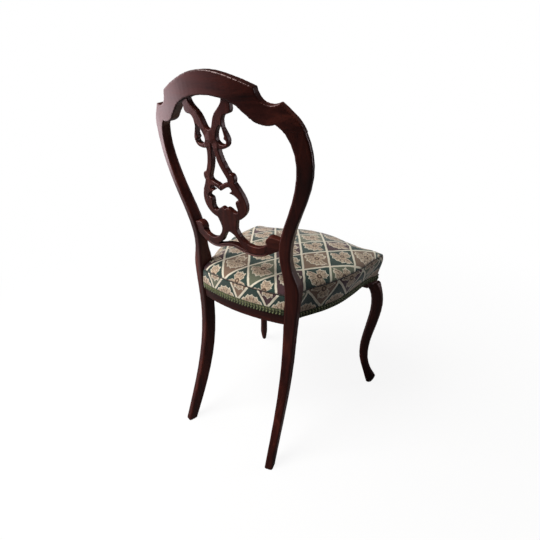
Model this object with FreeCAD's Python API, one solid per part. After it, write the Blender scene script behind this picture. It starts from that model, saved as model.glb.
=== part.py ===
import FreeCAD, Part

import math
import os

V = FreeCAD.Vector
os.makedirs("parts", exist_ok=True)

# Overall sizes in mm. X runs across the chair, the sitter faces -Y, Z is up from the floor.
BACK_RADIUS = 506.5
RAIL_BOTTOM = 355.0
RAIL_TOP = 400.0
RAIL_SET_IN = 4.0
CREST_THICK = 20.0
JOINT_HEIGHT = 777.0
SPLAT_SET_IN = 5.0
SPLAT_THICK = 10.0
CROSS_SET_IN = 4.5
CROSS_THICK = 16.0
ARRIS = 2.5
FRET_DEFLECTION = 0.3
FOOT = V(206, -154, 0)
LEG_TOP = 346.0
POST_INNER = V(169, -115, 0)
FRONT_RAIL_INNER = -128.0
REAR_RAIL_INNER = 155.0

# Upholstery
SEAM_HEIGHT = 428.0
SHOULDER_RISE = 14.0
CROWN_RISE = 26.0
CORNER_EASE = 0.18
CORNER_DROP = 0.45
REAR_FABRIC_BOTTOM = 382.0
FABRIC_BOTTOM = 356.0
CLOTH = 2.0
CLEAR = 0.35
WRAP = 0.5
BRAID = 2.0
BRAID_WIDTH = 16.0
STRAP_WIDTH = 50.0
STRAP_THICK = 1.5
STRAP_SIDE_STEP = 75.0
STRAP_ROWS = [-75.0, 5.0, 85.0]

pieces = {}


# Helpers


def through(points):
    """Smooth function of height through (height, value) pairs."""
    curve = Part.BSplineCurve()
    curve.interpolate(
        Points=[V(height, value, 0) for height, value in points],
        Parameters=[float(height) for height, value in points],
    )
    return lambda height: curve.value(height).y


def spline(points):
    """Edge through the points: straight for two, otherwise a smooth curve."""
    if len(points) == 2:
        return Part.makeLine(*points)
    curve = Part.BSplineCurve()
    curve.interpolate(points)
    return curve.toShape()


def eased(corners, reach):
    """Closed flat wire through the corners, each one cut off this far along its sides."""
    points = []
    for i, corner in enumerate(corners):
        points.append(corner + (corners[i - 1] - corner).normalize() * reach)
        points.append(corner + (corners[(i + 1) % len(corners)] - corner).normalize() * reach)
    return points


def loft(wires):
    return Part.makeLoft(wires, True, True)


def facet(points):
    return Part.Face(Part.makePolygon(points + points[:1]))


def skinned(rings):
    """Solid over rings of points, with flat triangles from each ring to the next."""
    faces = [facet(rings[0]), facet(rings[-1])]
    for lower, upper in zip(rings, rings[1:]):
        for i in range(len(lower)):
            j = (i + 1) % len(lower)
            faces.append(facet([lower[i], lower[j], upper[j]]))
            faces.append(facet([lower[i], upper[j], upper[i]]))
    solid = Part.makeSolid(Part.makeShell(faces))
    if solid.Volume < 0:
        solid.reverse()
    return solid


def sampled(outline, level=0.0):
    """Points round a closed level outline, three facets for every two spans of a curved part."""
    points = []
    for part in outline:
        edge = spline([V(x, y, level) for x, y in part])
        points += edge.discretize(2 if len(part) == 2 else 3 * len(part) // 2)[:-1]
    return points


def upright(outline, bottom, top):
    return facet(sampled(outline, bottom)).extrude(V(0, 0, top - bottom))


def polygon(points, bottom, top):
    return facet([V(x, y, bottom) for x, y in points]).extrude(V(0, 0, top - bottom))


def block(x0, x1, y0, y1, z0, z1):
    return Part.makeBox(x1 - x0, y1 - y0, z1 - z0, V(x0, y0, z0))


def ring(centre, axis, radius):
    """Eight points round an axis."""
    side = axis.cross(V(0, 0, 1) if abs(axis.z) < 0.9 else V(1, 0, 0)).normalize()
    lift = axis.cross(side)
    turns = [math.radians(45 * step) for step in range(8)]
    return [centre + (side * math.cos(turn) + lift * math.sin(turn)) * radius for turn in turns]


def peg(start, direction, length, radius):
    """Eight-sided rod from its start along a direction."""
    axis = V(direction).normalize()
    return facet(ring(start, axis, radius)).extrude(axis * length)


def countersink(start, axis, length, radius, tip_radius):
    return skinned([ring(start, axis, radius), ring(start + axis * length, axis, tip_radius)])


def main_solid(shape):
    """The largest solid, without slivers left in rounded corners."""
    return max(shape.Solids, key=lambda solid: solid.Volume)


def other_side(shape):
    return shape.mirror(V(0, 0, 0), V(1, 0, 0))


def both_sides(shapes):
    return shapes + [other_side(shape) for shape in shapes]


def mirrored(half, top_smooth=True, bottom_smooth=True):
    """Closed outline from its half, drawn from the top centre down to the bottom centre."""
    parts = [list(part) for part in half]
    flipped = [[(-x, y) for x, y in reversed(part)] for part in reversed(half)]
    if bottom_smooth:
        parts[-1] += flipped.pop(0)[1:]
    if top_smooth:
        parts[0] = flipped.pop()[:-1] + parts[0]
    return parts + flipped


def grown(outline, distance):
    """The same closed outline with every point moved outward, corners mitred."""
    loop = [point for part in outline for point in part[:-1]]
    moved = []
    for i, (x, y) in enumerate(loop):
        before = V(x - loop[i - 1][0], y - loop[i - 1][1], 0).normalize()
        after = V(loop[(i + 1) % len(loop)][0] - x, loop[(i + 1) % len(loop)][1] - y, 0).normalize()
        along = (before + after).normalize()
        shift = distance / along.dot(before)
        moved.append((x - along.y * shift, y + along.x * shift))
    parts = []
    start = 0
    for part in outline:
        end = start + len(part) - 1
        parts.append(moved[start:end] + [moved[end % len(moved)]])
        start = end
    return parts


# The back: one surface raked to the rear, swept down into the rear legs and bowed across

back_line = through(
    [(0, 299.7), (80, 264), (160, 231.8), (240, 209), (320, 197.5), (400, 195), (460, 194)]
    + [(520, 196.3), (580, 204.3), (640, 214.6), (700, 224.7), (760, 234.4), (820, 243), (890, 248.6)]
)
inner_edge = through(
    [(0, 131.9), (150, 126.5), (280, 124), (360, 125.8), (430, 129.2), (470, 126.4), (510, 120.8)]
    + [(550, 122.7), (600, 140.3), (650, 160.7), (700, 173.2), (735, 174), (JOINT_HEIGHT, 159.3)]
)
outer_edge = through(
    [(0, 150.8), (140, 146.5), (240, 147), (320, 149.8), (390, 156.6), (425, 159.8), (450, 158.8)]
    + [(475, 150.5), (505, 143), (550, 146.9), (600, 164.3), (650, 186.3), (700, 201.3)]
    + [(735, 203), (JOINT_HEIGHT, 194.9)]
)
stile_depth = through(
    [(0, 22.9), (80, 29.5), (160, 31.8), (280, 29.6), (350, 28), (400, 30), (445, 33), (462, 32.6)]
    + [(480, 28), (498, 25), (540, 25.4), (620, 24.6), (700, 21.4), (JOINT_HEIGHT, 18.7)]
)


def bow(x):
    """How far the rear face falls forward of its centre line at this distance across."""
    return BACK_RADIUS - math.sqrt(BACK_RADIUS**2 - x**2)


def rear_face(x, height):
    return V(x, back_line(height) - bow(x), height)


def stile_section(height, grow=0.0):
    inner = inner_edge(height) - grow
    outer = outer_edge(height) + grow
    turn = math.asin((inner + outer) / 2 / BACK_RADIUS)
    forward = V(-math.sin(turn), -math.cos(turn), 0)
    reach = forward * (stile_depth(height) + 2 * grow)
    rear_inner = rear_face(inner, height) - forward * grow
    rear_outer = rear_face(outer, height) - forward * grow
    return eased([rear_inner, rear_outer, rear_outer + reach, rear_inner + reach], ARRIS)


def slab(heights, half_width, set_in, thick):
    """Board that follows the back, its rear face set in from the back's rear face."""
    wires = []
    for height in heights:
        rear = [rear_face(x, height) - V(0, set_in, 0) for x in (-half_width, 0, half_width)]
        front = [point - V(0, thick, 0) for point in reversed(rear)]
        edges = [Part.Arc(*rear).toShape(), Part.makeLine(rear[2], front[0])]
        edges += [Part.Arc(*front).toShape(), Part.makeLine(front[2], rear[0])]
        wires.append(Part.Wire(edges))
    return loft(wires)


def fretted(outline, set_in):
    """Solid whose walls stand square to the back, on an outline drawn on its set-in rear face."""
    radius = BACK_RADIUS - set_in
    heights = [height for part in outline for x, height in part]
    widest = max(abs(x) for part in outline for x, height in part)
    behind = back_line(max(heights)) + 10
    ahead = back_line(min(heights)) - bow(widest) - 35
    points = []
    for part in outline:
        edge = spline([V(x, height, 0) for x, height in part])
        points += edge.discretize(QuasiDeflection=FRET_DEFLECTION)[:-1]
    rings = []
    for plane in (behind, ahead):
        row = []
        for point in points:
            turn = math.asin(point.x / radius)
            rake = (back_line(point.y + 5) - back_line(point.y - 5)) / 10
            centre = back_line(point.y) - BACK_RADIUS
            travel = centre + radius * math.cos(turn) - plane
            rise = travel / math.cos(turn) * rake
            row.append(V((plane - centre) * math.tan(turn), plane, point.y + rise))
        rings.append(row)
    return skinned(rings)


# Stiles, each one piece with its rear leg

STILE_LEVELS = [0, 35, 70, 105, 140, 175, 210, 245, 280, 315, 350, 385, 415, 440, 455, 468, 480]
STILE_LEVELS += [495, 515, 535, 555, 575, 597, 620, 645, 670, 695, 717, 737, 757, JOINT_HEIGHT]
stile = skinned([stile_section(height) for height in STILE_LEVELS])
stile_room = skinned([stile_section(height, CLEAR) for height in STILE_LEVELS[8:21]])
stiles = stile.fuse(other_side(stile))
stile_rooms = stile_room.fuse(other_side(stile_room))

# Crest rail with its notched shoulders and eared ends

BELOW_JOINT = JOINT_HEIGHT - 9
crest_half = [
    [(0, 880), (30, 877), (62, 868.8), (90, 859), (113.5, 849)],
    [(113.5, 849), (117, 837.5), (125, 826), (138, 820), (148, 819.8), (158.5, 823.3)],
    [(158.5, 823.3), (173.2, 808.6), (187.5, 791.9), (194.9, JOINT_HEIGHT), (198, BELOW_JOINT)],
    [(198, BELOW_JOINT), (166, BELOW_JOINT)],
    [(166, BELOW_JOINT), (159.3, JOINT_HEIGHT), (146, 789.3)],
    [(146, 789.3), (134, 787), (120, 789.1), (103, 797), (86, 813.2), (68, 825), (37, 835), (0, 839)],
]
crest = fretted(mirrored(crest_half), 0)
crest = crest.common(slab([760, 800, 840, 890], 215, 0, CREST_THICK))
crest = crest.cut(block(-300, 300, 0, 400, 700, JOINT_HEIGHT))

# Cross rail with a ledge for the splat and a volute at each end

cross_half = [
    [(0, 531.5), (20, 529), (33, 525), (46, 522)],
    [(46, 522), (58, 521.5), (72, 522.5), (84, 526)],
    [(84, 526), (88, 533), (94, 546)],
    [(94, 546), (91, 553), (94, 560), (109, 565.5), (121, 561), (132, 558.5)],
    [(132, 558.5), (132, 541)],
    [(132, 541), (118, 535.5), (99.5, 526), (82, 518), (58, 513.8), (33.5, 517.3), (12.4, 524.3), (0, 526.5)],
]
cross_rail = fretted(mirrored(cross_half), CROSS_SET_IN)
cross_rail = cross_rail.common(slab([500, 525, 550, 580], 140, CROSS_SET_IN, CROSS_THICK))
cross_rail = cross_rail.cut(stiles)

# Pierced splat: two arms up to the crest, a waist, a wreath, and two spread feet

splat_half = [
    [(0, 776), (7, 779), (15.5, 796), (26.5, 811), (39, 822), (44, 838)],
    [(44, 838), (60, 838)],
    [(60, 838), (59, 818)],
    [(59, 818), (54.5, 808.3), (43.5, 806), (34.8, 794), (36.8, 777), (43.5, 761), (40, 749.5), (29, 744)]
    + [(14.5, 744.5)],
    [(14.5, 744.5), (16.4, 727), (23.8, 706.5), (31.7, 693)],
    [(31.7, 693), (39, 690.5), (40.8, 686.5), (38, 676.5)],
    [(38, 676.5), (47, 662.5), (56.5, 643), (57.8, 621), (48.7, 606), (26.7, 594)],
    [(26.7, 594), (22.7, 583), (19.8, 569.5), (26.8, 553.5), (42, 540.5), (60, 535), (78, 537)]
    + [(93, 546)],
    [(93, 546), (94, 532), (80, 520)],
    [(80, 520), (46, 519)],
    [(46, 519), (39, 529)],
    [(39, 529), (25, 540.5), (15.5, 554.3), (6, 561.5), (0, 563)],
]
teardrop = [
    [(33.5, 789), (35.6, 781), (37.8, 766)],
    [(37.8, 766), (35.7, 762), (39, 760.5)],
    [(39, 760.5), (39, 753.5), (27, 748.6), (15.2, 755), (16.8, 772.6), (33.5, 789)],
]
slit_half = [
    [(0, 758), (4.5, 740), (8.3, 718), (17.4, 697), (24.5, 684)],
    [(24.5, 684), (24, 677.5), (13, 671.5), (0, 664)],
]
wreath_half = [
    [(0, 657.5), (12, 664), (26.5, 666), (30, 660), (24.3, 654)],
    [(24.3, 654), (37.5, 648), (45, 639.5)],
    [(45, 639.5), (35.2, 635.6)],
    [(35.2, 635.6), (34.5, 628), (36.2, 619), (34.5, 611.5), (26, 608)],
    [(26, 608), (18, 612), (9.5, 617), (0, 613)],
]
tenon = [
    [(46, 820), (57, 820)],
    [(57, 820), (57, 846)],
    [(57, 846), (46, 846)],
    [(46, 846), (46, 820)],
]
SPLAT_LEVELS = [505, 545, 585, 640, 700, 780, 860]
splat_board = slab(SPLAT_LEVELS, 110, SPLAT_SET_IN, SPLAT_THICK)
splat = fretted(mirrored(splat_half, top_smooth=False), SPLAT_SET_IN)
openings = both_sides([fretted(teardrop, SPLAT_SET_IN)])
openings.append(fretted(mirrored(slit_half, False, False), SPLAT_SET_IN))
openings.append(fretted(mirrored(wreath_half, False, False), SPLAT_SET_IN))
splat = splat.cut(openings).common(splat_board).cut([crest, cross_rail])
tenons = both_sides([fretted(tenon, SPLAT_SET_IN)])
tenon_board = slab(SPLAT_LEVELS[-2:], 110, SPLAT_SET_IN + 2.5, SPLAT_THICK - 5)
tenons = [shape.common(tenon_board) for shape in tenons]
splat = splat.fuse(tenons).removeSplitter()
crest = crest.cut(splat)

# Front cabriole legs: kite-shaped sections along the diagonal, with a square post on top

leg_inner = through(
    [(0, -10), (25, -19.8), (46, -25.9), (85, -36.6), (123, -40.7), (158, -37.7), (192, -30.8)]
    + [(225, -23.6), (258, -17.5), (290, -17.2), (323, -25.7), (335, -33.7), (LEG_TOP, -46)]
)
leg_outer = through(
    [(0, 8.7), (6.4, 14.7), (15.5, 19.8), (21, 21.6), (29.5, 17.7), (42, 10.3), (57, 2.8), (73, -3.1)]
    + [(100, -8.3), (136, -7.1), (171, -0.5), (204, 9.6), (237, 18.2), (270, 24), (302, 23.2)]
    + [(329, 18.1), (LEG_TOP, 14)]
)
leg_half = through(
    [(0, 6.2), (6, 8.3), (17, 10.4), (30, 13), (50, 14), (150, 13.6), (250, 15.6), (290, 17.3), (LEG_TOP, 18)]
)
LEG_LEVELS = [0, 7, 14, 21, 30, 42, 57, 75, 95, 115, 135, 155, 175, 195, 215, 235, 255, 275]
LEG_LEVELS += [293, 308, 322, 335, LEG_TOP]
OUT = V(1, -1, 0).normalize()
ACROSS = V(1, 1, 0).normalize()


def leg_section(height):
    inner = leg_inner(height)
    outer = leg_outer(height)
    half = leg_half(height)
    middle = FOOT + OUT * ((inner + outer) / 2) + V(0, 0, height)
    tip = OUT * ((outer - inner) / 2)
    return eased([middle + tip, middle + ACROSS * half, middle - tip, middle - ACROSS * half], half * 0.5)


front_leg_body = skinned([leg_section(height) for height in LEG_LEVELS])

# Plans of the seat, half of each from the rear centre round to the front centre

rail_plan = [
    [(x, back_line(RAIL_TOP) - bow(x) - RAIL_SET_IN) for x in (0, 47, 95, 142)],
    [(142, back_line(RAIL_TOP) - bow(142) - RAIL_SET_IN), (134, 150)],
    [(134, 150), (136, 131), (148, 107), (166, 70), (180.5, 22), (187, -38), (190, -98), (204.8, -147)],
    [(204.8, -147), (204.6, -152.4), (199, -152.8)],
    [(199, -152.8), (169, -152), (140, -152), (100, -160), (50, -176), (0, -181)],
]
seam_plan = [
    [(0, 184), (47, 182.6), (95, 177.6), (142, 167)],
    [(142, 167), (148, 150)],
    [(148, 150), (149, 131), (156, 107), (174.5, 70), (190.5, 22), (203.5, -38), (209, -98), (214.5, -147)],
    [(214.5, -147), (214.2, -154.6), (207, -156)],
    [(207, -156), (185, -152), (155, -154), (112, -166), (56, -186), (0, -192)],
]
SIDE_SHARES = [(FABRIC_BOTTOM - 20, 0), (372, 0), (386, 0.32), (401, 0.77), (414, 1.06), (SEAM_HEIGHT, 1)]
REAR_SHARES = [(FABRIC_BOTTOM - 20, 0), (401, 0), (414, 0.7), (SEAM_HEIGHT, 1)]
BORDER_LEVELS = [372, 386, 401, 414]


def share(level, shares):
    """How far the fabric has swelled from the rails to the seam at this level."""
    for (low, first), (high, second) in zip(shares, shares[1:]):
        if level <= high:
            return first + (second - first) * (level - low) / (high - low)
    return shares[-1][1]


def seat_outline(level, grow):
    """Seat plan at a level between the rails' outside and the seam, moved outward."""
    side = share(level, SIDE_SHARES)
    rear = share(level, REAR_SHARES)
    shares = [[rear] * 4, [rear, side]] + [[side] * len(part) for part in rail_plan[2:]]
    half = []
    for rail_part, seam_part, part_shares in zip(rail_plan, seam_plan, shares):
        row = []
        for rail, seam, amount in zip(rail_part, seam_part, part_shares):
            row.append((rail[0] + (seam[0] - rail[0]) * amount, rail[1] + (seam[1] - rail[1]) * amount))
        half.append(row)
    return grown(mirrored(half), grow)


def border_solid(bottom, top, grow):
    levels = [bottom] + [level for level in BORDER_LEVELS if bottom < level < top] + [top]
    return skinned([sampled(seat_outline(level, grow), level) for level in levels])


def dome_solid(base, grow):
    """The crowned top of the seat above the seam."""
    rings = []
    for inset in (0, 5, 12, 25, 50, 95, 155):
        rise = SHOULDER_RISE * (1 - math.exp(-inset / 9)) + CROWN_RISE * (1 - (1 - inset / 170) ** 2)
        outline = []
        for part in seat_outline(SEAM_HEIGHT, grow):
            row = []
            for x, y in part:
                ease = 1 - CORNER_EASE * inset / 165 * (x * y / 32000) ** 2
                row.append((x * (1 - inset / 200) * ease, (y - (y + 4) * inset / 188) * ease))
            outline.append(row)
        row = []
        for point in sampled(outline):
            corner = max(0, (-abs(point.x) * point.y / 32000 - 0.2) / 0.8) ** 2
            row.append(point + V(0, 0, base + rise * (1 - CORNER_DROP * corner)))
        rings.append(row)
    return skinned(rings)


# Front posts: the square tops of the front legs, shaped to the seat outside

def front_post(grow=0.0):
    square = block(
        POST_INNER.x - grow, 230, -180, POST_INNER.y + grow, LEG_TOP - 6, RAIL_TOP
    )
    return square.common(upright(seat_outline(RAIL_BOTTOM, grow), LEG_TOP - 6, RAIL_TOP))


post = front_post()
front_leg = front_leg_body.fuse(post).removeSplitter()

# Seat rails

rear_rail = slab([RAIL_BOTTOM, RAIL_TOP], 136, RAIL_SET_IN + CLEAR, 40)
rear_rail = rear_rail.common(block(-150, 150, REAR_RAIL_INNER, 250, 300, 450)).cut(stiles)
side_end = rail_plan[2][-1]
side_inner = [(164, side_end[1]), (164, -60), (158, 16), (146, 60), (124, 110), (119, 128), (119, 156)]
side_outline = [rail_plan[2], [side_end, side_inner[0]]]
side_outline += [side_inner[i:i + 2] for i in range(len(side_inner) - 1)]
side_outline += [[side_inner[-1], (134, 156)], [(134, 156), rail_plan[2][0]]]
side_rail = upright(side_outline, RAIL_BOTTOM, RAIL_TOP)
side_rail = side_rail.cut([stile, rear_rail, block(100, 300, -300, POST_INNER.y, 300, 450)])
front_curve = mirrored(rail_plan[-1:], top_smooth=False)[0]
front_outline = [
    front_curve,
    [front_curve[-1], (front_curve[-1][0], FRONT_RAIL_INNER)],
    [(front_curve[-1][0], FRONT_RAIL_INNER), (front_curve[0][0], FRONT_RAIL_INNER)],
    [(front_curve[0][0], FRONT_RAIL_INNER), front_curve[0]],
]
front_rail = upright(front_outline, RAIL_BOTTOM, RAIL_TOP)
front_rail = front_rail.common(
    block(-POST_INNER.x, POST_INNER.x, -300, FRONT_RAIL_INNER, RAIL_BOTTOM, RAIL_TOP)
)

# Corner blocks

BLOCK_BOTTOM = 360.0
BLOCK_TOP = 395.0
rear_block = polygon([(60, 166), (134, 166), (134, 80)], BLOCK_BOTTOM, BLOCK_TOP)
rear_block = main_solid(rear_block.cut([rear_rail, side_rail, stile]))
front_block = polygon(
    [(105, FRONT_RAIL_INNER), (172, FRONT_RAIL_INNER), (172, -64), (163, -64)], BLOCK_BOTTOM, BLOCK_TOP
)
front_block = front_block.cut([side_rail, post])

# Dowels, each with its hole a little wider and longer

DOWEL_RADIUS = 4.0
DOWEL_PLAY = 0.15


def dowel(middle, direction, length, radius=DOWEL_RADIUS):
    axis = V(direction).normalize()
    room = peg(middle - axis * (length / 2 + 1), axis, length + 2, radius + DOWEL_PLAY)
    return peg(middle - axis * (length / 2), axis, length, radius), room


crest_pins = [dowel(V(173.7, 196.2, JOINT_HEIGHT), V(-17, 12, 40), 40, 4.5)]
cross_pins = [dowel(V(120, 172, height), V(0.97, -0.25, 0), 34) for height in (546, 557)]
rail_pins = []
for height in (362, 382):
    rail_pins.append(dowel(V(183, POST_INNER.y, height), V(0, 1, 0), 46))
    rail_pins.append(dowel(V(121, 164.4, height), V(0.97, -0.25, 0), 44))
for height in (372, 392):
    rail_pins.append(dowel(V(POST_INNER.x, -140, height), V(1, 0, 0), 48))
    rail_pins.append(dowel(V(129.5, 149, height), V(0.08, 1, 0), 42))

# Countersunk screws through the corner blocks into the rails

SCREW_HEIGHT = 372.0
SCREW_RADIUS = 2.0
HEAD_RADIUS = 4.0
HEAD_LENGTH = 3.0


def screw(seat, direction, length):
    """Screw whose countersunk head ends at the seat point, and the hole that takes it."""
    axis = V(direction)
    top = seat - axis * HEAD_LENGTH
    head = countersink(top, axis, HEAD_LENGTH, HEAD_RADIUS, SCREW_RADIUS)
    shank = peg(seat, axis, length, SCREW_RADIUS)
    bore = peg(top - axis * 40, axis, 40, HEAD_RADIUS + 0.3)
    wide_head = countersink(top, axis, HEAD_LENGTH, HEAD_RADIUS + 0.3, SCREW_RADIUS + 0.1)
    room = peg(seat, axis, length + 1, SCREW_RADIUS + 0.1)
    return head.fuse(shank).removeSplitter(), bore.fuse([wide_head, room])


screws = [
    screw(V(137, -113, SCREW_HEIGHT), V(0, -1, 0), 34),
    screw(V(152, -86, SCREW_HEIGHT), V(1, 0, 0), 30),
    screw(V(92, 142, SCREW_HEIGHT), V(0, 1, 0), 33),
    screw(V(112, 108, SCREW_HEIGHT), V(1, 0, 0), 28),
]

# Webbing laced over and under, tacked to the tops of the rails

TACK_HEAD = 3.5
TACK_HEAD_THICK = 0.8
TACK_LENGTH = 9.0
LACE_RISE = STRAP_THICK + 0.25


def strap(start, end, crossings, along_x):
    """Strap from rail to rail; each crossing is (position, goes over)."""
    path = [(start, 0), (start + 18, 0)]
    for position, over in crossings:
        rise = LACE_RISE if over else 0
        path.append((position - STRAP_WIDTH / 2 - 2, rise))
        path.append((position + STRAP_WIDTH / 2 + 2, rise))
    path += [(end - 18, 0), (end, 0)]
    under = [V(place, 0, RAIL_TOP + rise) for place, rise in path]
    over = [point + V(0, 0, STRAP_THICK) for point in reversed(under)]
    profile = Part.Face(Part.makePolygon(under + over + under[:1]))
    shape = profile.extrude(V(0, STRAP_WIDTH, 0))
    shape.translate(V(0, -STRAP_WIDTH / 2, 0))
    if not along_x:
        shape.rotate(V(0, 0, 0), V(0, 0, 1), 90)
    return shape


def tack(point, down):
    """Cut tack with a flat six-sided head on the point; down is +1 or -1 along Z."""
    head = []
    for step in range(6):
        turn = math.radians(60 * step)
        head.append((point.x + TACK_HEAD * math.cos(turn), point.y + TACK_HEAD * math.sin(turn)))
    if down > 0:
        top = polygon(head, point.z, point.z + TACK_HEAD_THICK)
        tip = point.z - TACK_LENGTH
    else:
        top = polygon(head, point.z - TACK_HEAD_THICK, point.z)
        tip = point.z
    shank = block(point.x - 0.8, point.x + 0.8, point.y - 0.8, point.y + 0.8, tip, tip + TACK_LENGTH)
    room = block(
        point.x - 0.85, point.x + 0.85, point.y - 0.85, point.y + 0.85, tip - 0.3, tip + TACK_LENGTH + 0.3
    )
    return top.fuse(shank).removeSplitter(), room


columns = [-STRAP_SIDE_STEP, 0, STRAP_SIDE_STEP]
ROW_REACH = [180, 174, 151]
long_straps = []
cross_straps = []
tacks = []
for i, x in enumerate(columns):
    crossings = [(y, (i + j) % 2 == 0) for j, y in enumerate(STRAP_ROWS)]
    rear_end = 178 - bow(x)
    front_end = -148 - (18 if x == 0 else 10)
    shape = strap(front_end, rear_end, crossings, False)
    shape.translate(V(x, 0, 0))
    long_straps.append(shape)
    for end in (front_end + 7, rear_end - 6):
        for offset in (-16, 16):
            tacks.append(tack(V(x + offset, end, RAIL_TOP + STRAP_THICK), 1))
for j, y in enumerate(STRAP_ROWS):
    crossings = [(x, (i + j) % 2 == 1) for i, x in enumerate(columns)]
    shape = strap(-ROW_REACH[j], ROW_REACH[j], crossings, True)
    shape.translate(V(0, y, 0))
    cross_straps.append(shape)
    for end in (ROW_REACH[j] - 6, 6 - ROW_REACH[j]):
        for offset in (-16, 16):
            tacks.append(tack(V(end, y + offset, RAIL_TOP + STRAP_THICK), 1))
tack_rooms = [room for shape, room in tacks]
long_straps = [shape.cut(tack_rooms) for shape in long_straps]
cross_straps = [shape.cut(tack_rooms) for shape in cross_straps]

# Hessian, stuffing and the fabric cover

HESSIAN_BOTTOM = RAIL_TOP + LACE_RISE + STRAP_THICK + 0.3
PAD_BOTTOM = HESSIAN_BOTTOM + 1.0 + CLEAR
hessian = upright(seat_outline(HESSIAN_BOTTOM, -2), HESSIAN_BOTTOM, HESSIAN_BOTTOM + 1.0).cut(stile_rooms)
pad_seam = SEAM_HEIGHT - CLOTH - CLEAR
pad_grow = WRAP - 2 * CLEAR
pad = border_solid(PAD_BOTTOM, pad_seam, pad_grow)
pad = pad.fuse(dome_solid(pad_seam, pad_grow)).removeSplitter().cut(stile_rooms)
cover_top = dome_solid(SEAM_HEIGHT, WRAP + CLOTH)
cover_top = cover_top.cut(dome_solid(SEAM_HEIGHT - CLOTH, WRAP)).cut(stile_rooms)
border_top = SEAM_HEIGHT - 0.3
border = border_solid(FABRIC_BOTTOM, border_top, WRAP + CLOTH)
border = border.cut(border_solid(FABRIC_BOTTOM - 1, border_top + 1, WRAP)).cut(stile_rooms)
border = border.cut(block(-140, 140, 150, 220, 340, REAR_FABRIC_BOTTOM))
border_rear, border_front = sorted(border.Solids, key=lambda solid: -solid.CenterOfMass.y)

# Gimp braid over the raw edges of the fabric

GIMP_INNER = WRAP + CLOTH + 0.4


def band(bottom):
    """Ring of braid round the whole seat."""
    inside = border_solid(bottom - 1, bottom + BRAID_WIDTH + 1, GIMP_INNER)
    return border_solid(bottom, bottom + BRAID_WIDTH, GIMP_INNER + BRAID).cut(inside)


gimp = band(FABRIC_BOTTOM + 1)
gimp = main_solid(gimp.cut(stile_rooms).cut(block(-200, 200, 150, 220, 340, 380)))
gimp_rear = band(REAR_FABRIC_BOTTOM - 1).cut(stile_rooms).common(block(-126.5, 126.5, 150, 220, 370, 410))

# Dust cover under the rails

DUST_INSET = 6.0
DUST_THICK = 1.0
dust_cover = upright(seat_outline(RAIL_BOTTOM, -DUST_INSET), RAIL_BOTTOM - DUST_THICK, RAIL_BOTTOM)
dust_cover = dust_cover.cut([stile_rooms] + both_sides([front_post(CLEAR)]))
dust_tacks = []
for part in seat_outline(RAIL_BOTTOM, -DUST_INSET - 6):
    for x, y in part[1:-1:2]:
        if abs(x) > POST_INNER.x - 8 and y < POST_INNER.y + 8:
            continue
        dust_tacks.append(tack(V(x, y, RAIL_BOTTOM - DUST_THICK), -1))
dust_rooms = [room for shape, room in dust_tacks]
dust_cover = dust_cover.cut(dust_rooms)

# Drill the wood and gather the pieces


def drilled(shape, rooms):
    """Cut only the holes that meet this piece."""
    near = [room for room in rooms if room.BoundBox.intersect(shape.BoundBox)]
    return shape.cut(near) if near else shape


pins = crest_pins + cross_pins + rail_pins
holes = both_sides([room for shape, room in pins + screws]) + tack_rooms + dust_rooms
wood = {
    "crest_rail": crest,
    "stile_left": stile,
    "stile_right": other_side(stile),
    "splat": splat,
    "cross_rail": cross_rail,
    "rear_rail": rear_rail,
    "side_rail_left": side_rail,
    "side_rail_right": other_side(side_rail),
    "front_rail": front_rail,
    "front_leg_left": front_leg,
    "front_leg_right": other_side(front_leg),
    "corner_block_rear_left": rear_block,
    "corner_block_rear_right": other_side(rear_block),
    "corner_block_front_left": front_block,
    "corner_block_front_right": other_side(front_block),
}
for name, shape in wood.items():
    pieces[name] = drilled(shape, holes)
pieces["crest_dowels"] = Part.makeCompound(both_sides([shape for shape, room in crest_pins]))
pieces["cross_rail_dowels"] = Part.makeCompound(both_sides([shape for shape, room in cross_pins]))
pieces["seat_rail_dowels"] = Part.makeCompound(both_sides([shape for shape, room in rail_pins]))
pieces["corner_screws"] = Part.makeCompound(both_sides([shape for shape, room in screws]))
pieces["webbing_front_to_back"] = Part.makeCompound(long_straps)
pieces["webbing_side_to_side"] = Part.makeCompound(cross_straps)
pieces["webbing_tacks"] = Part.makeCompound([shape for shape, room in tacks])
pieces["hessian"] = hessian
pieces["stuffing_pad"] = pad
pieces["cover_top"] = cover_top
pieces["cover_border_front"] = border_front
pieces["cover_border_rear"] = border_rear
pieces["gimp_front"] = gimp
pieces["gimp_rear"] = gimp_rear
pieces["dust_cover"] = dust_cover
pieces["dust_cover_tacks"] = Part.makeCompound([shape for shape, room in dust_tacks])

# Move the origin to the middle of the footprint and write one file for each piece

chair = Part.makeCompound(list(pieces.values())).optimalBoundingBox(True, False)
middle = V(-(chair.XMin + chair.XMax) / 2, -(chair.YMin + chair.YMax) / 2, -chair.ZMin)
for name, shape in pieces.items():
    shape.translate(middle)
    shape.exportStep("parts/" + name + ".step")
    print(name, shape.isValid(), len(shape.Solids), round(shape.Volume / 1000, 2))
print("shift", middle, "size", chair.XLength, chair.YLength, chair.ZLength)
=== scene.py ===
import math

import bmesh
import bpy
import numpy as np
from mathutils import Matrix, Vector, kdtree, noise


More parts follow.
